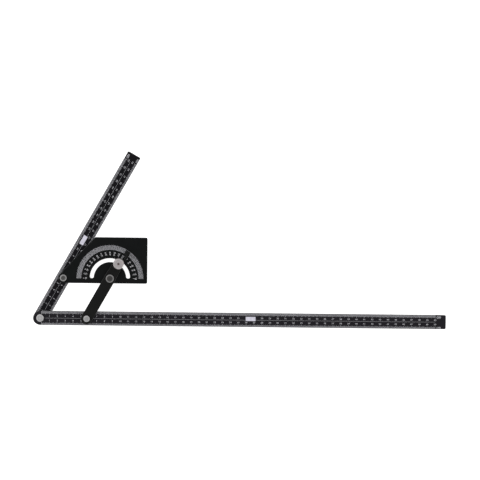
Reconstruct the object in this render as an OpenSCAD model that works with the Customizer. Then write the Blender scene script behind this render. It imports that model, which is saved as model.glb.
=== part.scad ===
// Angle ruler: two graduated rulers on one hinge, held by a parallelogram of a protractor plate
// and a pointed link arm. A knob clamps the arm through the arc slot of the plate.
// Millimetres. The origin is on the hinge axis at the underside of the short ruler,
// +X runs along the long ruler, +Z is up, away from the table.

/* [Rulers] */
// Width of both rulers
ruler_w = 18; // [16:0.5:24]
// Thickness of both rulers
ruler_t = 3; // [2.5:0.25:5]
// Hinge axis to the square end of the long ruler
long_reach = 515.5; // [320:0.5:700]
// Hinge axis to the square end of the short ruler
short_reach = 240; // [160:0.5:320]
// Width of the bevel along each graduated edge
bevel_w = 3.6; // [1:0.1:3.8]
// Drop of that bevel at the edge
bevel_drop = 1; // [0.2:0.1:1.2]
// Corner radius of the square ends
end_corner_r = 1.5; // [0.5:0.1:3]

/* [Linkage] */
// Pivot spacing along the long ruler and along the plate
span_long = 59.2; // [54:0.1:80]
// Pivot spacing along the short ruler and along the arm
span_short = 59.2; // [54:0.1:80]
// Opening angle between the rulers as drawn
opening = 60.5; // [30:0.5:150]
// Gap between two layers, filled by a friction washer at each pivot
layer_gap = 0.4; // [0.3:0.05:0.8]

/* [Protractor plate] */
// Thickness of the plate
plate_t = 3; // [2.5:0.25:5]
// Centre pivot to the right edge
plate_right = 47.4; // [45:0.1:60]
// Centre pivot to the top edge
plate_top = 52.2; // [48:0.1:70]
// Radius of the boss round the plate rivet, and depth of the edge below it
plate_boss_r = 6.5; // [6:0.1:8]
// Slope of the edge that rises from that boss
plate_slope = 46.6; // [44:0.1:54]
// Radius of the two right corners
plate_corner_r = 2; // [0.5:0.1:4]
// Radius of the middle of the arc slot
slot_r = 23.1; // [21.5:0.1:26]
// Width of the arc slot
slot_w = 5; // [4.8:0.1:5.6]
// Angle at which the slot's end holes sit above the pivot line
slot_end = 5.8; // [2:0.1:12]
// Amount by which those end holes are drilled wider than the slot
slot_relief = 0.1; // [0.05:0.05:0.3]

/* [Link arm] */
// Width of the arm
arm_w = 14.4; // [13:0.1:17]
// Thickness of the arm
arm_t = 2.5; // [2:0.1:4]
// Radius of the arm's end under the knob
arm_tip_r = 6.4; // [6:0.1:7]
// Radius from the centre pivot at which the pointer's hook begins
hook_start = 36; // [33:0.1:38]
// Radius that the pointer's hook reaches
hook_end = 42; // [40:0.1:46]
// Width of the neck that carries the hook
neck_w = 3.1; // [2:0.1:4]
// Thickness of the pointer
pointer_t = 1.2; // [0.8:0.1:2]

/* [Rivets] */
// Diameter of every rivet shank
shank_d = 4; // [3:0.1:4.5]
// Diameter of the flush heads at the back
back_head_d = 7.6; // [6.5:0.1:9]
// Height of the flush heads at the back
back_head_h = 1.2; // [0.8:0.1:1.5]
// Diameter of the hinge rivet's face
hinge_face_d = 9.4; // [8:0.1:10.4]
// Diameter of the link rivet's face
link_face_d = 8; // [7:0.1:10]
// Height of those two solid faces
solid_face_h = 1.3; // [0.8:0.1:1.8]
// Diameter of the dimple in a solid face
dimple_d = 3; // [1.5:0.1:3.6]
// Depth of that dimple
dimple_h = 0.3; // [0.1:0.05:0.5]
// Rolled ring of the plate rivet, outer diameter
plate_ring_d = 6; // [5.2:0.1:7.4]
// Rolled ring of the centre rivet, outer diameter
centre_ring_d = 7.4; // [6:0.1:8.4]
// Thickness of the wall of a rolled ring
ring_wall = 1; // [0.6:0.05:1.2]
// Straight height of a rolled ring below its round lip
ring_h = 0.5; // [0.35:0.05:0.8]
// Thickness of the floor inside a rolled ring
ring_floor = 0.25; // [0.15:0.05:0.35]
// Depth of the hollow inside a rolled ring, below its foot
hollow_h = 1.5; // [0.5:0.1:2]
// Washer under the plate rivet, outer diameter
plate_washer_d = 8.5; // [8:0.1:10]
// Washer under the centre rivet, outer diameter
centre_washer_d = 10.2; // [9:0.1:12]
// Thickness of those two washers
face_washer_t = 0.6; // [0.4:0.05:1]
// Outer diameter of the friction washers between the layers
friction_d = 10.4; // [8:0.1:10.6]
// Radial clearance of every hole round its shank
pivot_clear = 0.05; // [0.02:0.01:0.08]

/* [Lock] */
// Diameter of the knob over its knurl
knob_d = 13.3; // [11:0.1:16]
// Height of the knob's knurled grip
knob_h = 12; // [7:0.1:16]
// Height of the plain collar at the knob's foot
collar_h = 2.4; // [1.2:0.1:4]
// Amount by which that collar is set in from the knurl
collar_in = 0.95; // [0.5:0.05:2]
// Chamfer of the knob's top edge
knob_chamfer = 0.8; // [0.3:0.1:1.2]
// Number of knurl grooves
knurl_n = 36; // [20:1:44]
// Radius of a knurl groove
knurl_r = 0.38; // [0.2:0.02:0.42]
// Diameter of the lock screw's thread
screw_d = 3; // [2.5:0.1:4.2]
// Diameter of the shoulder that runs in the arc slot
shoulder_d = 4.6; // [4.4:0.05:4.7]
// Diameter of the screw's head
screw_head_d = 9; // [7:0.1:10]
// Height of the screw's head
screw_head_h = 1.5; // [1:0.1:1.6]
// Width of the driver slot in that head
driver_w = 1.2; // [0.8:0.1:1.6]
// Depth of the driver slot
driver_h = 0.7; // [0.3:0.05:0.8]
// Depth of the screw's end below the top of the knob
screw_sink = 1.2; // [0.4:0.1:2]
// Outer diameter of the washer under the knob
lock_washer_d = 11.8; // [9:0.1:16]
// Thickness of that washer
lock_washer_t = 0.8; // [0.5:0.05:1.2]
// Outer diameter of the slide washer behind the plate
slide_washer_d = 11; // [9:0.1:11.4]
// Thickness of the slide washer
slide_washer_t = 0.5; // [0.3:0.05:0.7]

/* [Name plates] */
// Length of both name plates
label_l = 12.4; // [8:0.1:20]
// Width of both name plates
label_w = 5.3; // [3:0.1:5.6]
// Thickness of both name plates
label_t = 0.4; // [0.35:0.05:0.6]
// Depth of the pocket that a name plate is glued into
label_sink = 0.3; // [0.1:0.05:0.3]
// Hinge axis to the middle of the long ruler's name plate
long_label_at = 267.5; // [120:0.5:300]
// Hinge axis to the middle of the short ruler's name plate
short_label_at = 113.4; // [105:0.1:140]
// Offset of both name plates from the middle line
label_off = 1.6; // [0:0.1:1.6]

/* [Hidden] */
$fn = 96;
eps = 0.01;

ruler_r = ruler_w / 2;
arm_r = arm_w / 2;
hole_d = shank_d + 2 * pivot_clear;
head_pocket_d = back_head_d + 2 * pivot_clear;
screw_hole_d = screw_d + 2 * pivot_clear;
slide_hole_d = shoulder_d + 2 * pivot_clear;

// Heights of the three layers
mid_z = ruler_t + layer_gap;
long_top = mid_z + ruler_t;
plate_top_z = mid_z + plate_t;
arm_z = max(long_top, plate_top_z) + layer_gap;
arm_top = arm_z + arm_t;

// Pivots in plan: hinge at the origin, then plate, centre and link pivots
plate_at = span_short * [cos(opening), sin(opening)];
link_at = [span_long, 0];
centre_at = plate_at + link_at;
lock_at = centre_at + slot_r * [cos(opening), sin(opening)];

// Slope of the arm's sides between the centre pivot and the knob
arm_taper = asin((arm_r - arm_tip_r) / slot_r);

// Lock stack
slide_z = mid_z - slide_washer_t;
knob_z = arm_top + lock_washer_t;
knob_top = knob_z + collar_h + knob_h;
screw_end = knob_top - screw_sink;

black = [0.10, 0.10, 0.11];
dark = [0.15, 0.15, 0.15];
steel = [0.72, 0.72, 0.74];
nylon = [0.30, 0.30, 0.30];
white = [0.85, 0.84, 0.88];

// Cross-section of a ruler: flat land in the middle, a bevel along each edge
module ruler_section() {
    polygon([
        [-ruler_r, 0],
        [ruler_r, 0],
        [ruler_r, ruler_t - bevel_drop],
        [ruler_r - bevel_w, ruler_t],
        [bevel_w - ruler_r, ruler_t],
        [-ruler_r, ruler_t - bevel_drop]
    ]);
}

// Plan of a ruler: full round at the hinge, small corners at the far end
module ruler_plan(reach) {
    circle(r = ruler_r);
    translate([0, -ruler_r])
        square([reach - end_corner_r, ruler_w]);
    translate([0, end_corner_r - ruler_r])
        square([reach, ruler_w - 2 * end_corner_r]);
    for (side = [-1, 1])
        translate([reach - end_corner_r, side * (ruler_r - end_corner_r)])
            circle(r = end_corner_r);
}

// One ruler on its own axis, with the second pivot at pivot_at and a pocket for a name plate.
// Flush rivet heads sink into the underside where sunk is true.
module ruler(reach, pivot_at, label_at, sunk) {
    difference() {
        intersection() {
            translate([-ruler_r, 0, 0])
                rotate([90, 0, 90])
                    linear_extrude(reach + ruler_r)
                        ruler_section();
            linear_extrude(ruler_t)
                ruler_plan(reach);
        }
        for (x = [0, pivot_at])
            translate([x, 0, -eps])
                cylinder(d = hole_d, h = ruler_t + 2 * eps);
        for (x = sunk)
            translate([x, 0, -eps])
                cylinder(d = head_pocket_d, h = back_head_h + eps);
        translate([label_at, label_off, ruler_t - label_sink + label_t / 2])
            cube([label_l + 2 * pivot_clear, label_w + 2 * pivot_clear, label_t], center = true);
    }
}

module long_ruler() {
    color(black)
        translate([0, 0, mid_z])
            ruler(long_reach, span_long, long_label_at, [span_long]);
}

module short_ruler() {
    color(black)
        rotate([0, 0, opening])
            ruler(short_reach, span_short, short_label_at, [0, span_short]);
}

// Outline of the plate about the centre pivot
module plate_outline() {
    boss_x = -span_long;
    rise = [-sin(plate_slope), cos(plate_slope)];
    touch = [boss_x, 0] + plate_boss_r * rise;
    crest_x = touch[0] + (plate_top - touch[1]) / tan(plate_slope);
    inner_x = plate_right - plate_corner_r;
    translate([boss_x, 0])
        circle(r = plate_boss_r);
    polygon([
        [boss_x, -plate_boss_r],
        [inner_x, -plate_boss_r],
        [plate_right, plate_corner_r - plate_boss_r],
        [plate_right, plate_top - plate_corner_r],
        [inner_x, plate_top],
        [crest_x, plate_top],
        touch,
        [boss_x, 0]
    ]);
    for (y = [plate_corner_r - plate_boss_r, plate_top - plate_corner_r])
        translate([inner_x, y])
            circle(r = plate_corner_r);
}

// Arc slot about the centre pivot, with a drilled hole at both ends
module arc_slot() {
    far = 2 * slot_r;
    intersection() {
        difference() {
            circle(r = slot_r + slot_w / 2);
            circle(r = slot_r - slot_w / 2);
        }
        polygon([
            [0, 0],
            far * [cos(slot_end), sin(slot_end)],
            [far, far],
            [-far, far],
            far * [-cos(slot_end), sin(slot_end)]
        ]);
    }
    for (a = [slot_end, 180 - slot_end])
        translate(slot_r * [cos(a), sin(a)])
            circle(d = slot_w + slot_relief);
}

module protractor_plate() {
    color(black)
        translate([centre_at[0], centre_at[1], mid_z])
            difference() {
                linear_extrude(plate_t)
                    difference() {
                        plate_outline();
                        arc_slot();
                    }
                for (x = [0, -span_long])
                    translate([x, 0, -eps])
                        cylinder(d = hole_d, h = plate_t + 2 * eps);
                translate([0, 0, -eps])
                    cylinder(d = head_pocket_d, h = back_head_h + eps);
            }
}

// Arm about the centre pivot, along +X: straight to the link pivot, tapered to the knob
module arm_outline() {
    s = sin(arm_taper);
    c = cos(arm_taper);
    translate([-span_short, 0])
        circle(r = arm_r);
    translate([-span_short, -arm_r])
        square([span_short + arm_r * s, arm_w]);
    polygon([
        arm_r * [s, c],
        [slot_r, 0] + arm_tip_r * [s, c],
        [slot_r, 0] + arm_tip_r * [s, -c],
        arm_r * [s, -c]
    ]);
    translate([slot_r, 0])
        circle(r = arm_tip_r);
}

// Pointer: a neck along the arm's right side and a hook whose left edge is the index
module pointer_outline() {
    translate([slot_r, -arm_tip_r])
        square([hook_end - slot_r, neck_w]);
    translate([hook_start, -arm_tip_r])
        square([hook_end - hook_start, arm_tip_r]);
}

module link_arm() {
    color(dark)
        translate([centre_at[0], centre_at[1], arm_z])
            rotate([0, 0, opening])
                difference() {
                    union() {
                        linear_extrude(arm_t)
                            arm_outline();
                        linear_extrude(pointer_t)
                            pointer_outline();
                    }
                    for (x = [0, -span_short])
                        translate([x, 0, -eps])
                            cylinder(d = hole_d, h = arm_t + 2 * eps);
                    translate([slot_r, 0, -eps])
                        cylinder(d = screw_hole_d, h = arm_t + 2 * eps);
                }
}

// Half-section of a rivet with a solid face: flush back head, shank, round-edged face, dimple
module solid_rivet_section(grip, face_d) {
    round_r = solid_face_h / 2;
    difference() {
        union() {
            square([back_head_d / 2, back_head_h]);
            square([shank_d / 2, grip]);
            translate([0, grip])
                square([face_d / 2 - round_r, solid_face_h]);
            translate([face_d / 2 - round_r, grip + round_r])
                circle(r = round_r);
        }
        translate([0, grip + solid_face_h - dimple_h])
            square([dimple_d / 2, 2 * dimple_h]);
    }
}

// Half-section of a rivet rolled over a hollow end: flush back head, shank, ring with a round lip
module rolled_rivet_section(grip, ring_d) {
    inner_r = ring_d / 2 - ring_wall;
    difference() {
        union() {
            square([back_head_d / 2, back_head_h]);
            square([shank_d / 2, grip]);
            translate([0, grip])
                square([ring_d / 2, ring_h]);
            translate([ring_d / 2 - ring_wall / 2, grip + ring_h])
                circle(d = ring_wall);
        }
        translate([0, grip + ring_floor])
            square([inner_r, ring_h + ring_wall]);
        translate([0, grip - hollow_h])
            square([shank_d / 2 - ring_wall / 2, hollow_h + ring_floor + eps]);
    }
}

module solid_rivet(foot_z, top_z, face_d) {
    translate([0, 0, foot_z])
        rotate_extrude()
            solid_rivet_section(top_z - foot_z, face_d);
}

module rolled_rivet(foot_z, top_z, ring_d) {
    translate([0, 0, foot_z])
        rotate_extrude()
            rolled_rivet_section(top_z - foot_z, ring_d);
}

module washer(outer_d, inner_d, thick) {
    difference() {
        cylinder(d = outer_d, h = thick);
        translate([0, 0, -eps])
            cylinder(d = inner_d, h = thick + 2 * eps);
    }
}

module hinge_rivet() {
    color(steel)
        solid_rivet(0, long_top, hinge_face_d);
}

module plate_rivet() {
    color(steel)
        translate([plate_at[0], plate_at[1], 0])
            rolled_rivet(0, plate_top_z + face_washer_t, plate_ring_d);
}

module centre_rivet() {
    color(dark)
        translate([centre_at[0], centre_at[1], 0])
            rolled_rivet(mid_z, arm_top + face_washer_t, centre_ring_d);
}

module link_rivet() {
    color(steel)
        translate([link_at[0], link_at[1], 0])
            solid_rivet(mid_z, arm_top, link_face_d);
}

module plate_washer() {
    color(steel)
        translate([plate_at[0], plate_at[1], plate_top_z])
            washer(plate_washer_d, hole_d, face_washer_t);
}

module centre_washer() {
    color(steel)
        translate([centre_at[0], centre_at[1], arm_top])
            washer(centre_washer_d, hole_d, face_washer_t);
}

module hinge_friction() {
    color(nylon)
        translate([0, 0, ruler_t])
            washer(friction_d, hole_d, layer_gap);
}

module plate_friction() {
    color(nylon)
        translate([plate_at[0], plate_at[1], ruler_t])
            washer(friction_d, hole_d, layer_gap);
}

module centre_friction() {
    color(nylon)
        translate([centre_at[0], centre_at[1], plate_top_z])
            washer(friction_d, hole_d, arm_z - plate_top_z);
}

module link_friction() {
    color(nylon)
        translate([link_at[0], link_at[1], long_top])
            washer(friction_d, hole_d, arm_z - long_top);
}

module lock_screw() {
    head_z = slide_z - screw_head_h;
    color(steel)
        translate([lock_at[0], lock_at[1], head_z])
            difference() {
                union() {
                    cylinder(d = screw_head_d, h = screw_head_h);
                    cylinder(d = shoulder_d, h = arm_z - head_z);
                    cylinder(d = screw_d, h = screw_end - head_z);
                }
                translate([0, 0, driver_h / 2 - eps])
                    cube([screw_head_d + 2 * eps, driver_w, driver_h + 2 * eps], center = true);
            }
}

module slide_washer() {
    color(nylon)
        translate([lock_at[0], lock_at[1], slide_z])
            washer(slide_washer_d, slide_hole_d, slide_washer_t);
}

module lock_washer() {
    color(steel)
        translate([lock_at[0], lock_at[1], arm_top])
            washer(lock_washer_d, screw_hole_d, lock_washer_t);
}

// Half-section of the knob: plain collar, grip, chamfered top
module knob_section() {
    grip_r = knob_d / 2;
    collar_r = grip_r - collar_in;
    polygon([
        [0, 0],
        [collar_r, 0],
        [collar_r, collar_h],
        [grip_r, collar_h],
        [grip_r, collar_h + knob_h - knob_chamfer],
        [grip_r - knob_chamfer, collar_h + knob_h],
        [0, collar_h + knob_h]
    ]);
}

module lock_knob() {
    color(steel)
        translate([lock_at[0], lock_at[1], knob_z])
            rotate([0, 0, opening])
                difference() {
                    rotate_extrude()
                        knob_section();
                    translate([0, 0, -eps])
                        cylinder(d = screw_hole_d, h = knob_top);
                    for (i = [0:knurl_n - 1])
                        rotate([0, 0, i * 360 / knurl_n])
                            translate([knob_d / 2, 0, collar_h / 2])
                                cylinder(r = knurl_r, h = collar_h + knob_h);
                }
}

module name_plate(at, top_z) {
    translate([at, label_off, top_z - label_sink + label_t / 2])
        cube([label_l, label_w, label_t], center = true);
}

module long_label() {
    color(white)
        name_plate(long_label_at, long_top);
}

module short_label() {
    color(white)
        rotate([0, 0, opening])
            name_plate(short_label_at, ruler_t);
}

long_ruler();
short_ruler();
protractor_plate();
link_arm();
hinge_rivet();
plate_rivet();
centre_rivet();
link_rivet();
plate_washer();
centre_washer();
hinge_friction();
plate_friction();
centre_friction();
link_friction();
lock_screw();
slide_washer();
lock_washer();
lock_knob();
long_label();
short_label();
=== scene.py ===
import math

import bmesh
import bpy
from bpy.props import FloatProperty, FloatVectorProperty, IntProperty, PointerProperty
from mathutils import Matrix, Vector


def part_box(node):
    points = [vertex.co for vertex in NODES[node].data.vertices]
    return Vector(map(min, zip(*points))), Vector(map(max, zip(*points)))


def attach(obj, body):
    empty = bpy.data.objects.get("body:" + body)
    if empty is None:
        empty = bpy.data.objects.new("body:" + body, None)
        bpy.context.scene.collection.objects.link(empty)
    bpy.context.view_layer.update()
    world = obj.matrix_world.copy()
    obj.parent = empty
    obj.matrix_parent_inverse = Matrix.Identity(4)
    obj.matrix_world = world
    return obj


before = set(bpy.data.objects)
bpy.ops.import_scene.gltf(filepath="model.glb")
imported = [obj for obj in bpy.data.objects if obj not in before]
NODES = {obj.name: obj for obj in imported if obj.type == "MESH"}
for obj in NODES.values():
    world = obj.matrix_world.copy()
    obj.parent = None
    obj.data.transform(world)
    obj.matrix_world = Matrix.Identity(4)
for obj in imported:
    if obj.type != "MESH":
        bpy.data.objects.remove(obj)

bl_info = {
    "name": "Angle ruler",
    "version": (1, 0, 0),
    "blender": (4, 5, 0),
    "location": "3D View > Sidebar > Angle ruler",
    "description": "Prints the scales of a folding angle ruler, finishes its parts and sets its stage",
    "category": "Object",
}

MM = 0.001
CM = 10 * MM
UP = Vector((0, 0, 1))
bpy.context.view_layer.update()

# Points of a solid that are closer than this count as one
HAIR = 0.002 * MM

# How the faces of a solid are joined and its edges rounded
FLAT_ANGLE = math.radians(0.5)
EDGE_ANGLE = math.radians(30)
ROUND_STEPS = 2

# Height of a digit in the plain font, and half the width of a ruler's digit, by its height
DIGIT_SHARE = 0.73
HALF_DIGIT = 0.45

# Steps of a glyph's curves, and the distance at which its points become one
GLYPH_STEPS = 3
GLYPH_GAP = 1e-4

# Lines in a centimetre and in half of one
LINES = 10
HALF_LINES = 5

# Degrees of the dial, and between its numbers
DIAL_DEGREES = 180
NUMBER_STEP = 10

# Turned lines in a millimetre of the rivets and of the washers under them
RIVET_LINES = 6.0

# Height of the view, 0 at the horizon and 1 overhead, from which and to which the room darkens
SKY_BAND = (0.1, 0.75)


def middle(node):
    """Centre of a solid's box."""
    low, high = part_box(node)
    return (low + high) / 2


def round_size(node):
    """Radius of a round solid that stands on the table's normal."""
    low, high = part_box(node)
    return (high.x - low.x) / 2


# Where the rulers, the plate and the arm turn, the photographed opening, and the side of the linkage
HINGE = middle("hinge_rivet")
PLATE_PIVOT = middle("plate_rivet")
DIAL = middle("centre_rivet")
OPENING = math.atan2(PLATE_PIVOT.y - HINGE.y, PLATE_PIVOT.x - HINGE.x)
SPAN = (PLATE_PIVOT - HINGE).xy.length


# Settings


def length(name, text, millimetres, least=0.0):
    """A size that a user may change, given in millimetres."""
    return FloatProperty(
        name=name,
        description=text,
        default=millimetres * MM,
        min=least * MM,
        precision=5,
        subtype="DISTANCE",
        unit="LENGTH",
    )


def location(name, text, millimetres):
    """A place that a user may change, given in millimetres."""
    return FloatVectorProperty(
        name=name,
        description=text,
        default=tuple(part * MM for part in millimetres),
        subtype="XYZ",
        unit="LENGTH",
    )


def amount(name, text, default, **options):
    """A plain number that a user may change."""
    return FloatProperty(name=name, description=text, default=default, **options)


def colour(name, text, default):
    """A linear colour that a user may change."""
    return FloatVectorProperty(
        name=name,
        description=text,
        default=default,
        min=0,
        max=1,
        size=3,
        subtype="COLOR",
    )


class RulerPrint(bpy.types.PropertyGroup):
    """Sizes of the printing on both rulers."""

    long_zero: length("Long zero", "Hinge axis to the zero of the long scale", 1.85)
    long_last: IntProperty(name="Long scale", description="Last centimetre printed", default=50, min=1)
    short_zero: length("Short zero", "Hinge axis to the zero of the short scale", -0.3, least=-9)
    short_last: IntProperty(name="Short scale", description="Last centimetre printed", default=23, min=1)
    tick_w: length("Tick width", "Width of a graduation line", 0.28)
    edge_gap: length("Edge gap", "Bare rim outside the graduation lines", 0.3)
    tick_1: length("Fine tick", "Length of a millimetre line, from the rim", 3.0)
    tick_5: length("Half tick", "Length of a five millimetre line, from the rim", 3.4)
    tick_10: length("Full tick", "Length of a centimetre line, from the rim", 3.85)
    side_step: length("Side step", "Amount by which left lines are longer and right lines shorter", 0.25)
    digit_h: length("Digit height", "Height of the numbers", 1.95)
    left_row: length("Left row", "Middle line to the left row of numbers", 2.6)
    right_row: length("Right row", "Middle line to the right row of numbers", 3.0)
    unit_h: length("Unit height", "Height of the unit marks, by the height of a digit of that size", 4.2)
    unit_row: length("Unit row", "Middle line to the unit marks", 6.7)
    unit_at: length("Unit place", "Last centimetre line to the middle of the unit marks", 4.6)
    line_w: length("Middle line", "Width of the line along the middle", 0.16)
    line_gap: length("Line gap", "Gap between the middle line and what covers it", 0.4)


class DialPrint(bpy.types.PropertyGroup):
    """Sizes of the printing on the protractor plate."""

    tick_w: length("Tick width", "Width of a degree line", 0.22)
    tick_in: length("Inner radius", "Radius at which the degree lines begin", 36.5)
    tick_out: length("Outer radius", "Radius at which the degree lines end", 42.4)
    arc_w: length("Arc width", "Width of the arc that the degree lines stand on", 0.07)
    outer_row: length("Outer row", "Radius of the outer row of numbers", 33.0)
    inner_row: length("Inner row", "Radius of the inner row of numbers", 30.5)
    digit_h: length("Digit height", "Height of the numbers", 2.0)


class Ink(bpy.types.PropertyGroup):
    """Body of the printing."""

    rise: length("Rise", "Height of the print above the metal", 0.02)
    sink: length("Sink", "Depth of the print below the metal", 0.03)
    ruler_digits: amount("Ruler digits", "Width of a digit, by that of the plain font", 1.2)
    unit_letters: amount("Unit letters", "Width of a letter, by that of the plain font", 0.8)
    dial_digits: amount("Dial digits", "Width of a digit, by that of the plain font", 0.66)


class Finishes(bpy.types.PropertyGroup):
    """Colours of the finishes, and the edge rounds."""

    long_black: colour("Long ruler", "Anodised black of the long ruler", (0.0108, 0.0096, 0.0131))
    short_black: colour("Short ruler", "Anodised black of the short ruler", (0.0050, 0.0046, 0.0063))
    plate_black: colour("Plate", "Anodised black of the protractor plate", (0.0042, 0.0049, 0.0050))
    arm_black: colour("Arm", "Anodised black of the link arm", (0.0060, 0.0062, 0.0057))
    # The lighter black of rubbed wear, also laid along every edge round as a painted highlight
    worn_black: colour("Worn edges", "Thinned black on the edges", (0.110, 0.109, 0.114))
    nickel: colour("Nickel", "Plating of the hinge and link rivets", (0.605, 0.60, 0.605))
    dull_nickel: colour("Dull nickel", "Washers under the rolled rivets", (0.365, 0.36, 0.36))
    dark_nickel: colour("Dark nickel", "Rolled rivets", (0.17, 0.166, 0.163))
    knob: colour("Knob", "Plating of the knob", (0.558, 0.518, 0.522))
    # Dark screw end: blackened steel plus painted shade of its recess in the knob
    screw: colour("Screw", "Blackened steel of the lock screw", (0.17, 0.13, 0.125))
    nylon: colour("Nylon", "Friction washers", (0.035, 0.034, 0.033))
    film: colour("Name plates", "White film of the name plates", (0.755, 0.74, 0.85))
    ink: colour("Ink", "White of the numbers on the dial", (0.86, 0.85, 0.89))
    fine_ink: colour("Fine ink", "Thinner white of the lines and the ruler numbers", (0.67, 0.665, 0.705))
    part_round: length("Part rounds", "Round on the edges of the flat black parts", 0.25)
    washer_round: length("Washer rounds", "Round on the edges of the washers", 0.08)


class Stage(bpy.types.PropertyGroup):
    """Camera, lights and floor."""

    lens: amount("Lens", "Focal length in millimetres", 225.0)
    distance: length("Distance", "Camera to the point that it looks at", 3801.8)
    tilt: amount("Tilt", "Lean of the view from straight down", math.radians(-5.12), subtype="ANGLE")
    roll: amount("Roll", "Turn of the camera about its view", math.radians(0.618), subtype="ANGLE")
    aim: location("Aim", "Point that the camera looks at", (252.89, 102.17, 6.4))
    view_end: length("View end", "Distance at which the camera's view ends", 100000)
    floor_size: length("Floor", "Side of the floor", 16000)
    floor_drop: length("Floor drop", "Gap between the part and the floor", 0.05)
    floor_white: colour("Floor colour", "White of the floor", (0.82, 0.82, 0.82))
    floor_glow: amount("Floor glow", "Light that the floor gives off", 0.9, min=0)
    key_from: location("Key place", "Aim to the light at the left", (-900, 750, 1150))
    key_size: length("Key size", "Width of the light at the left", 2600)
    key_power: amount("Key light", "Power of the light at the left", 11, unit="POWER")
    fill_from: location("Fill place", "Aim to the light at the right", (1300, 500, 1000))
    fill_size: length("Fill size", "Width of the light at the right", 2400)
    fill_power: amount("Fill light", "Power of the light at the right", 5, unit="POWER")
    sky_low: amount("Low sky", "Brightness of the room near the floor", 0.95, min=0)
    sky_high: amount("High sky", "Brightness of the room overhead", 0.5, min=0)


class AngleRuler(bpy.types.PropertyGroup):
    """All settings of the angle ruler."""

    ruler_print: PointerProperty(type=RulerPrint)
    dial_print: PointerProperty(type=DialPrint)
    ink: PointerProperty(type=Ink)
    finishes: PointerProperty(type=Finishes)
    stage: PointerProperty(type=Stage)


# Shader graphs


def shade(tint, share):
    """A colour made lighter or darker."""
    return tuple(min(1.0, part * share) for part in tint)


class Wire:
    """A shader socket that takes part in Python arithmetic by adding Math nodes."""

    def __init__(self, graph, socket):
        self.graph = graph
        self.socket = socket

    def _math(self, operation, *values):
        """The result of a Math node that works on these values."""
        return self.graph.node("ShaderNodeMath", {"operation": operation}, dict(enumerate(values)))

    def __add__(self, other):
        return self._math("ADD", self, other)

    def __radd__(self, other):
        return self._math("ADD", other, self)

    def __sub__(self, other):
        return self._math("SUBTRACT", self, other)

    def __rsub__(self, other):
        return self._math("SUBTRACT", other, self)

    def __mul__(self, other):
        return self._math("MULTIPLY", self, other)

    def __rmul__(self, other):
        return self._math("MULTIPLY", other, self)

    def __pow__(self, other):
        return self._math("POWER", self, other)

    def __abs__(self):
        return self._math("ABSOLUTE", self)

    def most(self, other):
        """The larger of two values."""
        return self._math("MAXIMUM", self, other)

    def step(self, low, high):
        """A smooth step from 0 at low to 1 at high."""
        ends = {"Value": self, "From Min": low, "From Max": high}
        return self.graph.node("ShaderNodeMapRange", {"interpolation_type": "SMOOTHSTEP"}, ends)


class Graph:
    """A node tree that is filled by method calls."""

    def __init__(self, tree):
        self.tree = tree
        tree.nodes.clear()

    def node(self, kind, settings=None, inputs=None, output=0):
        """Adds a node, sets it up, fills its sockets and returns one of its outputs."""
        made = self.tree.nodes.new(kind)
        for key, value in (settings or {}).items():
            setattr(made, key, value)
        for key, value in (inputs or {}).items():
            socket = self._socket(made.inputs, key)
            if isinstance(value, Wire):
                self.tree.links.new(value.socket, socket)
            else:
                socket.default_value = value
        return Wire(self, self._socket(made.outputs, output)) if made.outputs else None

    @staticmethod
    def _socket(sockets, key):
        """The socket of that name, or at that place among those in use."""
        shown = [s for s in sockets if s.enabled]
        return shown[key] if isinstance(key, int) else next(s for s in shown if s.name == key)

    def mix(self, share, low, high):
        """A colour between two colours."""
        ends = {"A": low, "B": high}
        ends = {key: end if isinstance(end, Wire) else (*end, 1) for key, end in ends.items()}
        return self.node("ShaderNodeMix", {"data_type": "RGBA"}, {"Factor": share, **ends}, "Result")

    def drift(self, share, tint, dark, light):
        """A tint that drifts between a darker and a lighter shade of it."""
        return self.mix(share, shade(tint, dark), shade(tint, light))

    def place(self, origin, turn):
        """Coordinates in millimetres about a point of the part, turned about its normal."""
        spot = self.node("ShaderNodeTexCoord", output="Object")
        about = {"Vector": spot, "Location": origin, "Rotation": (0, 0, turn), "Scale": (MM, MM, MM)}
        return self.node("ShaderNodeMapping", {"vector_type": "TEXTURE"}, about)

    def split(self, vector):
        """The three parts of a vector."""
        first = self.node("ShaderNodeSeparateXYZ", inputs={"Vector": vector})
        return [Wire(self, s) for s in first.socket.node.outputs]

    def join(self, x, y, z):
        """A vector of three parts."""
        return self.node("ShaderNodeCombineXYZ", inputs={"X": x, "Y": y, "Z": z})

    def noise(self, vector, scale, detail=2.0, roughness=0.5):
        """Noise from 0 to 1, with scale bumps in a millimetre."""
        inputs = {"Vector": vector, "Scale": scale, "Detail": detail, "Roughness": roughness}
        return self.node("ShaderNodeTexNoise", inputs=inputs)

    def bump(self, height, depth, strength):
        """A normal from a height field of that depth in metres."""
        inputs = {"Height": height, "Distance": depth, "Strength": strength}
        return self.node("ShaderNodeBump", inputs=inputs)

    def surface(self, **inputs):
        """Ends the graph in one Principled shader; underscores stand for spaces."""
        named = {key.replace("_", " "): value for key, value in inputs.items()}
        for key in ("Base Color", "Emission Color"):
            if key in named and not isinstance(named[key], Wire):
                named[key] = (*named[key], 1)
        shader = self.node("ShaderNodeBsdfPrincipled", inputs=named)
        self.node("ShaderNodeOutputMaterial", inputs={"Surface": shader})


def new_finish(name):
    """A fresh material and its graph."""
    material = bpy.data.materials.new(name)
    material.use_nodes = True
    return material, Graph(material.node_tree)


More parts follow.
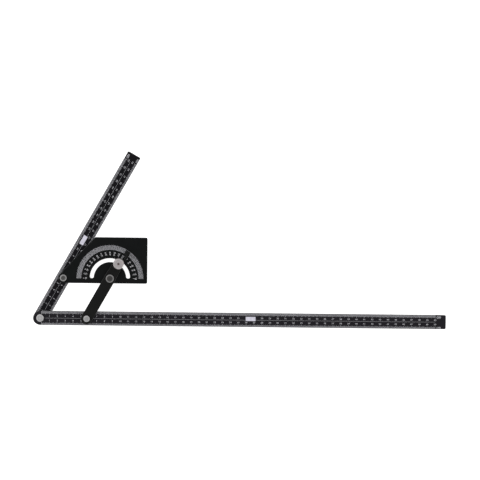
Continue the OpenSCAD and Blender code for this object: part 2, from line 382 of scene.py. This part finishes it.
def satin_black(name, tint, wear_and_highlight, origin, turn, sheen, land):
    """Black anodised metal with a drawn grain along its length, pores, clouds and specks of dust.

    Where a land is given, in millimetres to each side of the middle, its creases are rubbed in places.
    """
    material, graph = new_finish(name)
    spot = graph.place(origin, turn)
    along, across, up = graph.split(spot)
    drawn = graph.join(along * 0.06, across * 5.0, up * 5.0)
    grain = graph.noise(drawn, scale=1.0, detail=4.0, roughness=0.6)
    cloud = graph.noise(spot, scale=0.05, detail=4.0, roughness=0.6)
    pores = graph.noise(spot, scale=3.5)
    dust = graph.noise(spot, scale=1.9, detail=1.0).step(0.76, 0.82)
    thin = dust * 0.25
    if land is not None:
        near = abs(abs(across) - land)
        rubbed = graph.noise(spot, scale=0.35, detail=3.0).step(0.35, 0.7)
        crease = (1 - near.step(0.02, 0.16)) * rubbed
        thin = thin.most(crease * 0.55)
    base = graph.drift(cloud.step(0.25, 0.75), tint, dark=0.78, light=1.25)
    base = graph.mix(grain.step(0.55, 0.8) * 0.22, base, shade(tint, 2.4))
    graph.surface(
        Base_Color=graph.mix(thin, base, wear_and_highlight),
        Roughness=0.36 + 0.12 * cloud + 0.14 * grain,
        Specular_IOR_Level=sheen,
        Normal=graph.bump(0.7 * grain + 0.5 * pores, depth=0.012 * MM, strength=0.35),
    )
    return material


def worn_black(name, tint, wear_and_highlight, origin, turn):
    """The same black on the edge rounds, lighter all along as a painted highlight and more where an edge
    has rubbed thin.
    """
    material, graph = new_finish(name)
    spot = graph.place(origin, turn)
    rubbed = graph.noise(spot, scale=0.22, detail=5.0, roughness=0.65).step(0.32, 0.72)
    nicks = graph.noise(spot, scale=1.6).step(0.62, 0.75)
    # The fixed share lightens every edge round as a painted highlight; the rest is rubbed wear and nicks
    share = 0.12 + 0.35 * rubbed + 0.35 * nicks * rubbed
    graph.surface(
        Base_Color=graph.mix(share, shade(tint, 1.2), wear_and_highlight),
        Roughness=0.42 - 0.12 * rubbed,
        Specular_IOR_Level=0.4,
        Normal=graph.bump(nicks, depth=0.01 * MM, strength=0.3),
    )
    return material


def turned_metal(name, tint, node, lines, rough, ring=0.0, dish_shade=0.0):
    """Plated metal with turned lines round the axis of its part, smears and stains.

    A ring is the radius, in millimetres, of a groove that the setting tool left, with painted shade in it,
    and the last value is the share of painted shade on the metal inside the groove.
    """
    material, graph = new_finish(name)
    spot = graph.place(middle(node), 0)
    x, y, z = graph.split(spot)
    distance = (x * x + y * y) ** 0.5
    rounds = graph.join(distance * lines, z * 2.5, 0.0)
    turned = graph.noise(rounds, scale=1.0, detail=3.0, roughness=0.6)
    smear = graph.noise(spot, scale=0.55, detail=4.0, roughness=0.6)
    stain = graph.noise(spot, scale=1.4, detail=3.0).step(0.58, 0.8)
    base = graph.drift(smear.step(0.3, 0.7), tint, dark=0.86, light=1.06)
    base = graph.mix(0.35 * turned.step(0.5, 0.8), base, shade(tint, 0.7))
    height = turned
    if ring:
        # Painted shade: darker in the groove, and by the last share inside it, where the hollow is shaded
        groove = 1 - abs(distance - ring).step(0.1, 0.4)
        inside = 1 - distance.step(ring - 0.2, ring + 0.2)
        base = graph.mix((0.55 * groove).most(dish_shade * inside), base, shade(tint, 0.35))
        height = turned - 2.0 * groove
    graph.surface(
        Base_Color=graph.mix(0.4 * stain, base, shade(tint, 0.45)),
        Metallic=1.0,
        Roughness=rough + 0.16 * turned + 0.12 * smear + 0.1 * stain,
        Normal=graph.bump(height, depth=0.012 * MM, strength=0.5),
    )
    return material


def dull_nylon(name, tint):
    """Dark nylon of the friction washers, with a fine moulded grain."""
    material, graph = new_finish(name)
    spot = graph.place(HINGE, 0)
    cloud = graph.noise(spot, scale=0.4, detail=3.0)
    grain = graph.noise(spot, scale=5.0)
    graph.surface(
        Base_Color=graph.drift(cloud, tint, dark=0.75, light=1.3),
        Roughness=0.5 + 0.2 * grain,
        Normal=graph.bump(grain, depth=0.02 * MM, strength=0.4),
    )
    return material


def white_film(name, tint):
    """Matt white film of the bare name plates, with fibres, faint clouds and specks of dirt."""
    material, graph = new_finish(name)
    spot = graph.place(HINGE, 0)
    along, across, up = graph.split(spot)
    rolled = graph.join(along * 1.2, across * 4.0, up)
    fibre = graph.noise(rolled, scale=1.0, detail=4.0, roughness=0.65)
    cloud = graph.noise(spot, scale=0.3, detail=3.0)
    speck = graph.noise(spot, scale=2.6, detail=1.0).step(0.7, 0.78)
    base = graph.drift(cloud.step(0.3, 0.7), tint, dark=0.9, light=1.06)
    graph.surface(
        Base_Color=graph.mix(0.3 * speck, base, shade(tint, 0.55)),
        Roughness=0.55 + 0.2 * fibre,
        Normal=graph.bump(fibre, depth=0.015 * MM, strength=0.5),
    )
    return material


def white_ink(name, tint):
    """Baked white ink of the scales, slightly uneven and rubbed in places."""
    material, graph = new_finish(name)
    spot = graph.place(HINGE, 0)
    cloud = graph.noise(spot, scale=0.08, detail=4.0, roughness=0.6)
    grain = graph.noise(spot, scale=6.0)
    rubbed = graph.noise(spot, scale=0.5, detail=4.0, roughness=0.65).step(0.6, 0.85)
    base = graph.drift(cloud.step(0.3, 0.7), tint, dark=0.88, light=1.08)
    graph.surface(
        Base_Color=graph.mix(0.45 * rubbed, base, shade(tint, 0.35)),
        Roughness=0.5 + 0.25 * grain,
        Normal=graph.bump(grain, depth=0.006 * MM, strength=0.4),
    )
    return material


# Geometry of the printing


class Track:
    """The printable top of one ruler, read from its solid: direction, level, land and bevels."""

    def __init__(self, node, turn):
        points = [vertex.co for vertex in NODES[node].data.vertices]
        self.forward = Vector((math.cos(turn), math.sin(turn), 0))
        self.left = UP.cross(self.forward)
        self.top = max(p.z for p in points)
        self.half = max(p.dot(self.left) for p in points)
        self.land = max(p.dot(self.left) for p in points if p.z > self.top - HAIR)
        self.rim = max(p.z for p in points if p.dot(self.left) > self.half - HAIR)

    def point(self, along, across):
        """A point of the top, from its place along and across the ruler."""
        past = max(0.0, abs(across) - self.land) / (self.half - self.land)
        level = self.top + past * (self.rim - self.top)
        return along * self.forward + across * self.left + level * UP

    def line(self, along, side, start, end):
        """Surface points across one edge, with a point on the crease if the line crosses it."""
        stops = [start, self.land, end] if start > self.land > end else [start, end]
        return [(self.point(along, side * stop), self.forward) for stop in stops]


def add_bar(mesh, line, width, ink):
    """Adds a closed bar of ink along a line of surface points, each given with its direction of width."""
    corners = ((-1, -ink.sink), (1, -ink.sink), (1, ink.rise), (-1, ink.rise))
    rings = []
    for point, wide in line:
        half = wide * width / 2
        rings.append([mesh.verts.new(point + side * half + lift * UP) for side, lift in corners])
    for first, second in zip(rings, rings[1:]):
        for i in range(len(corners)):
            mesh.faces.new((first[i - 1], first[i], second[i], second[i - 1]))
    mesh.faces.new(rings[0][::-1])
    mesh.faces.new(rings[-1])


# Flat shapes that have been made already
GLYPHS = {}


def glyph_outline(text, fold):
    """Flat shape of a number or unit, centred and with digits one high, cut at the height of a fold."""
    key = text, fold
    if key not in GLYPHS:
        curve = bpy.data.curves.new("glyphs", "FONT")
        curve.body = text
        curve.align_x = "CENTER"
        curve.resolution_u = GLYPH_STEPS
        holder = bpy.data.objects.new("glyphs", curve)
        sheet = bpy.data.meshes.new_from_object(holder)
        flat = bmesh.new()
        flat.from_mesh(sheet)
        bmesh.ops.remove_doubles(flat, verts=flat.verts, dist=GLYPH_GAP)
        bmesh.ops.dissolve_degenerate(flat, edges=flat.edges, dist=GLYPH_GAP)
        if fold is not None:
            whole = [*flat.verts, *flat.edges, *flat.faces]
            at = (0, (fold + 0.5) * DIGIT_SHARE, 0)
            bmesh.ops.bisect_plane(flat, geom=whole, plane_co=at, plane_no=(0, 1, 0), dist=GLYPH_GAP)
        flat.verts.index_update()
        points = [(v.co.x / DIGIT_SHARE, v.co.y / DIGIT_SHARE - 0.5) for v in flat.verts]
        faces = [[v.index for v in face.verts] for face in flat.faces]
        flat.free()
        bpy.data.objects.remove(holder)
        bpy.data.curves.remove(curve)
        bpy.data.meshes.remove(sheet)
        GLYPHS[key] = points, faces
    return GLYPHS[key]


def add_number(mesh, text, height, widen, place, ink, fold=None):
    """Adds closed glyphs of ink; place turns a point of the flat shape into a point of the surface."""
    points, faces = glyph_outline(text, fold)
    top = [mesh.verts.new(place(x * height * widen, y * height) + ink.rise * UP) for x, y in points]
    low = [mesh.verts.new(v.co - (ink.rise + ink.sink) * UP) for v in top]
    edges = {(face[i - 1], face[i]) for face in faces for i in range(len(face))}
    for face in faces:
        mesh.faces.new([top[i] for i in face])
        mesh.faces.new([low[i] for i in reversed(face)])
    for a, b in edges:
        if (b, a) not in edges:
            mesh.faces.new((top[b], top[a], low[a], low[b]))


def new_piece(name, mesh, material, body):
    """Turns a filled bmesh into a named piece with a material, riding on a body."""
    bmesh.ops.recalc_face_normals(mesh, faces=mesh.faces)
    data = bpy.data.meshes.new(name)
    mesh.to_mesh(data)
    mesh.free()
    data.materials.append(material)
    piece = bpy.data.objects.new(name, data)
    bpy.context.scene.collection.objects.link(piece)
    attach(piece, body)


def find_finish(name, make, *values):
    """The finish of that name, made on first use."""
    return bpy.data.materials.get(name) or make(name, *values)


def dress(node, *materials):
    """Puts materials on a solid's slots."""
    slots = NODES[node].data.materials
    slots.clear()
    for material in materials:
        slots.append(material)


def soften(node, width, edge_slot=-1):
    """Welds a solid's faces, joins the flat ones and rounds its edges.

    The rounds take the material in edge_slot, or with -1 that of the faces beside them.
    """
    stack = NODES[node].modifiers
    weld = stack.new("weld", "WELD")
    weld.merge_threshold = HAIR
    flat = stack.new("flat_faces", "DECIMATE")
    flat.decimate_type = "DISSOLVE"
    flat.angle_limit = FLAT_ANGLE
    edge = stack.new("edge_rounds", "BEVEL")
    edge.width = width
    edge.segments = ROUND_STEPS
    edge.limit_method = "ANGLE"
    edge.angle_limit = EDGE_ANGLE
    edge.use_clamp_overlap = False
    edge.material = edge_slot
    even = stack.new("even_shading", "WEIGHTED_NORMAL")
    even.keep_sharp = False


# Operators


class ANGLERULER_OT_black_parts(bpy.types.Operator):
    """Rounds the edges of the rulers, the plate and the arm and gives them their black finish"""

    bl_idname = "angle_ruler.black_parts"
    bl_label = "Black parts"

    def execute(self, context):
        looks = context.scene.angle_ruler.finishes
        land = Track("long_ruler", 0).land / MM
        # node, tint, start and turn of the grain, sheen, half width of the land between the bevels
        rows = (
            ("long_ruler", looks.long_black, HINGE, 0, 0.16, land),
            ("short_ruler", looks.short_black, HINGE, OPENING, 0.095, land),
            ("protractor_plate", looks.plate_black, DIAL, 0, 0.09, None),
            ("link_arm", looks.arm_black, DIAL, OPENING, 0.13, None),
        )
        for node, tint, origin, turn, sheen, half in rows:
            face = satin_black(node + "_black", tint, looks.worn_black, origin, turn, sheen, half)
            edge = worn_black(node + "_edge", tint, looks.worn_black, origin, turn)
            dress(node, face, edge)
            soften(node, looks.part_round, edge_slot=1)
        return {"FINISHED"}


class ANGLERULER_OT_rivets(bpy.types.Operator):
    """Gives the four rivets and their washers their turned plating"""

    bl_idname = "angle_ruler.rivets"
    bl_label = "Rivets and washers"

    def execute(self, context):
        looks = context.scene.angle_ruler.finishes
        # node, tint, roughness, radius of the setting groove in millimetres, painted shade inside it
        rows = (
            ("hinge_rivet", shade(looks.nickel, 1.08), 0.2, 2.5, 0.0),
            ("link_rivet", looks.nickel, 0.2, 2.3, 0.3),
            # Brighter copy of the dull nickel: the washer's own tone plus painted highlight for its glints
            ("plate_washer", shade(looks.dull_nickel, 1.25), 0.22, 0.0, 0.0),
            ("centre_washer", shade(looks.dull_nickel, 0.9), 0.24, 0.0, 0.0),
            ("plate_rivet", shade(looks.dark_nickel, 0.9), 0.26, 0.0, 0.0),
            # Darker copy of the rolled rivets' nickel: its own dark tone plus painted shade of its recessed
            # centre
            ("centre_rivet", shade(looks.dark_nickel, 0.6), 0.3, 0.0, 0.0),
        )
        for node, tint, rough, ring, dish_shade in rows:
            dress(node, turned_metal(node + "_nickel", tint, node, RIVET_LINES, rough, ring, dish_shade))
        nylon = find_finish("dark_nylon", dull_nylon, looks.nylon)
        for pivot in ("hinge", "plate", "centre", "link"):
            dress(pivot + "_friction", nylon)
        for node in ("plate_washer", "centre_washer"):
            soften(node, looks.washer_round)
        return {"FINISHED"}


class ANGLERULER_OT_lock(bpy.types.Operator):
    """Finishes the lock screw, its washers and the knurled knob"""

    bl_idname = "angle_ruler.lock"
    bl_label = "Lock"

    def execute(self, context):
        looks = context.scene.angle_ruler.finishes
        # node, finish, tint, turned lines in a millimetre, roughness
        rows = (
            ("lock_knob", "knob_plating", looks.knob, 3.2, 0.22),
            # The screw's dark tint is blackened steel plus painted shade of its end, recessed in the knob
            ("lock_screw", "screw_steel_and_shade", looks.screw, 4.0, 0.3),
            ("lock_washer", "lock_washer_nickel", looks.nickel, 5.0, 0.24),
        )
        for node, finish, tint, lines, rough in rows:
            dress(node, turned_metal(finish, tint, node, lines, rough))
        dress("slide_washer", find_finish("dark_nylon", dull_nylon, looks.nylon))
        soften("lock_washer", looks.washer_round)
        return {"FINISHED"}


class ANGLERULER_OT_name_plates(bpy.types.Operator):
    """Finishes the two bare white name plates"""

    bl_idname = "angle_ruler.name_plates"
    bl_label = "Name plates"

    def execute(self, context):
        looks = context.scene.angle_ruler.finishes
        film = white_film("white_film", looks.film)
        for node in ("long_label", "short_label"):
            dress(node, film)
            soften(node, looks.washer_round)
        return {"FINISHED"}


class ANGLERULER_OT_ruler_scales(bpy.types.Operator):
    """Prints the centimetre scales, their numbers and the middle line on both rulers"""

    bl_idname = "angle_ruler.ruler_scales"
    bl_label = "Ruler scales"

    def execute(self, context):
        sizes = context.scene.angle_ruler.ruler_print
        self.print_ruler(context, "long_ruler", 0, sizes.long_zero, sizes.long_last, "long_label")
        self.print_ruler(context, "short_ruler", OPENING, sizes.short_zero, sizes.short_last, "short_label")
        return {"FINISHED"}

    def print_ruler(self, context, node, turn, zero, last, label):
        """Prints one ruler: its lines, its numbers and its middle line."""
        settings = context.scene.angle_ruler
        sizes, ink = settings.ruler_print, settings.ink
        fine = find_finish("fine_ink", white_ink, settings.finishes.fine_ink)
        track = Track(node, turn)
        ticks = self.make_ticks(track, zero, last, sizes, ink)
        new_piece(node + "_ticks", ticks, fine, node)
        covers = self.covers(track, label)
        numbers = self.make_numbers(track, zero, last, covers, settings)
        new_piece(node + "_numbers", numbers, fine, node)
        line = self.make_middle_line(track, zero + last * CM, covers, sizes, ink)
        new_piece(node + "_middle_line", line, fine, node)

    def make_ticks(self, track, zero, last, sizes, ink):
        """The graduation lines along both edges."""
        mesh = bmesh.new()
        start = track.half - sizes.edge_gap
        for count in range(last * LINES + 1):
            size = sizes.tick_1
            if count % LINES == 0:
                size = sizes.tick_10
            elif count % HALF_LINES == 0:
                size = sizes.tick_5
            for side in (1, -1):
                end = track.half - size - side * sizes.side_step
                line = track.line(zero + count * MM, side, start, end)
                add_bar(mesh, line, sizes.tick_w, ink)
        return mesh

    def covers(self, track, label):
        """Stretches that the rivets and the name plate cover: from, to, and if the right row is covered."""
        washer = round_size("hinge_friction")
        plate = [v.co.dot(track.forward) for v in NODES[label].data.vertices]
        return [
            (-washer, washer, True),
            (SPAN - washer, SPAN + washer, True),
            (min(plate), max(plate), False),
        ]

    def is_covered(self, at, half, right, covers):
        """Whether a number of that half width would reach under a rivet or the name plate."""
        for low, high, both_rows in covers:
            if at + half > low and at - half < high and (both_rows or not right):
                return True
        return False

    def make_numbers(self, track, zero, last, covers, settings):
        """Both rows of centimetre numbers and the unit marks."""
        sizes, ink = settings.ruler_print, settings.ink
        mesh = bmesh.new()
        for count in range(1, last + 1):
            text = str(count)
            at = zero + count * CM
            half = HALF_DIGIT * sizes.digit_h * len(text)
            for row, right in ((sizes.left_row, False), (-sizes.right_row, True)):
                if not self.is_covered(at, half, right, covers):
                    self.add_text(mesh, track, text, sizes.digit_h, ink.ruler_digits, at, row, ink)
        unit_at = zero + last * CM + sizes.unit_at
        for row in (sizes.unit_row, -sizes.unit_row):
            self.add_text(mesh, track, "cm", sizes.unit_h, ink.unit_letters, unit_at, row, ink)
        return mesh

    def add_text(self, mesh, track, text, height, widen, along, across, ink):
        """Adds text along the ruler, folded over the crease of the bevel where it reaches across it."""

        def place(x, y):
            return track.point(along + x, across + y)

        # The crease as a share of the height, from the middle of the text, if the text reaches it
        fold = (math.copysign(track.land, across) - across) / height
        fold = fold if abs(fold) < 0.5 else None
        add_number(mesh, text, height, widen, place, ink, fold)

    def make_middle_line(self, track, end, covers, sizes, ink):
        """The line along the middle, in stretches between what covers it."""
        mesh = bmesh.new()
        gap = sizes.line_gap
        covers = sorted(covers)
        starts = [high + gap for _, high, _ in covers]
        stops = [low - gap for low, _, _ in covers[1:]] + [end]
        for ends in zip(starts, stops):
            line = [(track.point(along, 0), track.left) for along in ends]
            add_bar(mesh, line, sizes.line_w, ink)
        return mesh


class ANGLERULER_OT_dial(bpy.types.Operator):
    """Prints the degree lines and both rows of numbers on the protractor plate"""

    bl_idname = "angle_ruler.dial"
    bl_label = "Dial"

    def execute(self, context):
        settings = context.scene.angle_ruler
        white = find_finish("white_ink", white_ink, settings.finishes.ink)
        fine = find_finish("fine_ink", white_ink, settings.finishes.fine_ink)
        new_piece("dial_ticks", self.make_ticks(settings), fine, "protractor")
        new_piece("dial_numbers", self.make_numbers(settings), white, "protractor")
        return {"FINISHED"}

    def axes(self, degrees):
        """Outward and clockwise directions of the dial at an angle from its right end."""
        turn = math.radians(degrees)
        outward = Vector((math.cos(turn), math.sin(turn), 0))
        return outward, outward.cross(UP)

    def spot(self, outward, radius):
        """A point of the plate's top at a radius about the dial's middle."""
        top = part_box("protractor_plate")[1].z
        return Vector((DIAL.x, DIAL.y, top)) + outward * radius

    def make_ticks(self, settings):
        """The degree lines and the arc that they stand on."""
        sizes = settings.dial_print
        mesh = bmesh.new()
        arc = []
        for degrees in range(DIAL_DEGREES + 1):
            outward, clockwise = self.axes(degrees)
            ends = (sizes.tick_in, sizes.tick_out)
            line = [(self.spot(outward, radius), clockwise) for radius in ends]
            add_bar(mesh, line, sizes.tick_w, settings.ink)
            arc.append((self.spot(outward, sizes.tick_in - sizes.arc_w / 2), outward))
        add_bar(mesh, arc, sizes.arc_w, settings.ink)
        return mesh

    def make_numbers(self, settings):
        """Both rows of numbers, which count in opposite ways."""
        sizes = settings.dial_print
        mesh = bmesh.new()
        for degrees in range(0, DIAL_DEGREES + 1, NUMBER_STEP):
            outward, clockwise = self.axes(degrees)
            rows = ((sizes.outer_row, DIAL_DEGREES - degrees), (sizes.inner_row, degrees))
            for radius, value in rows:
                centre = self.spot(outward, radius)

                def place(x, y, start=centre, right=clockwise, top=outward):
                    return start + x * right + y * top

                add_number(mesh, str(value), sizes.digit_h, settings.ink.dial_digits, place, settings.ink)
        return mesh


class ANGLERULER_OT_stage(bpy.types.Operator):
    """Sets the floor, the soft lights, the room and the camera"""

    bl_idname = "angle_ruler.stage"
    bl_label = "Stage"

    def execute(self, context):
        stage = context.scene.angle_ruler.stage
        self.make_floor(stage)
        self.make_room(context.scene, stage)
        aim = Vector(stage.aim)
        self.make_light("key_light", aim, stage.key_from, stage.key_size, stage.key_power)
        self.make_light("fill_light", aim, stage.fill_from, stage.fill_size, stage.fill_power)
        self.make_camera(context.scene, stage, aim)
        context.scene.view_settings.view_transform = "Standard"
        return {"FINISHED"}

    def make_floor(self, stage):
        """A large pale floor that glows, so that it stays as white as the room."""
        half = stage.floor_size / 2
        sides = ((-1, -1), (1, -1), (1, 1), (-1, 1))
        data = bpy.data.meshes.new("floor")
        corners = [(x * half, y * half, -stage.floor_drop) for x, y in sides]
        data.from_pydata(corners, [], [(0, 1, 2, 3)])
        floor = bpy.data.objects.new("floor", data)
        bpy.context.scene.collection.objects.link(floor)
        material, graph = new_finish("floor_white")
        cloud = graph.noise(graph.place(HINGE, 0), scale=0.004, detail=3.0)
        graph.surface(
            Base_Color=graph.drift(cloud, stage.floor_white, dark=0.99, light=1.01),
            Roughness=0.8 + 0.1 * cloud,
            Specular_IOR_Level=0.1,
            Emission_Color=(1.0, 1.0, 1.0),
            Emission_Strength=stage.floor_glow,
        )
        data.materials.append(material)

    def make_room(self, scene, stage):
        """A plain white room, dimmer overhead."""
        world = bpy.data.worlds.new("room")
        world.use_nodes = True
        scene.world = world
        graph = Graph(world.node_tree)
        up = graph.split(graph.node("ShaderNodeTexCoord", output="Generated"))[2]
        low, high = stage.sky_low, stage.sky_high
        sky = graph.mix(up.step(*SKY_BAND), (low, low, low), (high, high, high))
        room = graph.node("ShaderNodeBackground", inputs={"Color": sky})
        graph.node("ShaderNodeOutputWorld", inputs={"Surface": room})

    def make_light(self, name, aim, offset, size, power):
        """A round soft light that shines on the point that the camera looks at."""
        lamp = bpy.data.lights.new(name, "AREA")
        lamp.shape = "DISK"
        lamp.size = size
        lamp.energy = power
        light = bpy.data.objects.new(name, lamp)
        light.location = aim + Vector(offset)
        light.rotation_euler = (aim - light.location).to_track_quat("-Z", "Y").to_euler()
        light.visible_camera = False
        bpy.context.scene.collection.objects.link(light)

    def make_camera(self, scene, stage, aim):
        """The camera, almost straight above the part."""
        data = bpy.data.cameras.new("camera")
        data.lens = stage.lens
        data.clip_end = stage.view_end
        camera = bpy.data.objects.new("camera", data)
        camera.rotation_euler = (stage.tilt, 0, stage.roll)
        camera.location = aim + camera.rotation_euler.to_matrix() @ (stage.distance * UP)
        scene.collection.objects.link(camera)
        scene.camera = camera


OPERATORS = (
    ANGLERULER_OT_black_parts,
    ANGLERULER_OT_rivets,
    ANGLERULER_OT_lock,
    ANGLERULER_OT_name_plates,
    ANGLERULER_OT_ruler_scales,
    ANGLERULER_OT_dial,
    ANGLERULER_OT_stage,
)


class ANGLERULER_PT_panel(bpy.types.Panel):
    """Lists the steps that finish the angle ruler, and their settings"""

    bl_idname = "ANGLERULER_PT_panel"
    bl_label = "Angle ruler"
    bl_space_type = "VIEW_3D"
    bl_region_type = "UI"
    bl_category = "Angle ruler"

    def draw(self, context):
        for step in OPERATORS:
            self.layout.operator(step.bl_idname)
        for group_name in AngleRuler.__annotations__:
            group = getattr(context.scene.angle_ruler, group_name)
            box = self.layout.box()
            for setting in type(group).__annotations__:
                box.prop(group, setting)


GROUPS = (RulerPrint, DialPrint, Ink, Finishes, Stage, AngleRuler)
CLASSES = (*GROUPS, *OPERATORS, ANGLERULER_PT_panel)


def register():
    """Adds the classes and the scene's settings."""
    for cls in CLASSES:
        bpy.utils.register_class(cls)
    bpy.types.Scene.angle_ruler = PointerProperty(type=AngleRuler)


def unregister():
    """Takes the settings and the classes away again."""
    del bpy.types.Scene.angle_ruler
    for cls in reversed(CLASSES):
        bpy.utils.unregister_class(cls)


def main():
    """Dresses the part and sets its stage."""
    register()
    bpy.ops.angle_ruler.black_parts()
    bpy.ops.angle_ruler.rivets()
    bpy.ops.angle_ruler.lock()
    bpy.ops.angle_ruler.name_plates()
    bpy.ops.angle_ruler.ruler_scales()
    bpy.ops.angle_ruler.dial()
    bpy.ops.angle_ruler.stage()


if __name__ == "__main__":
    main()
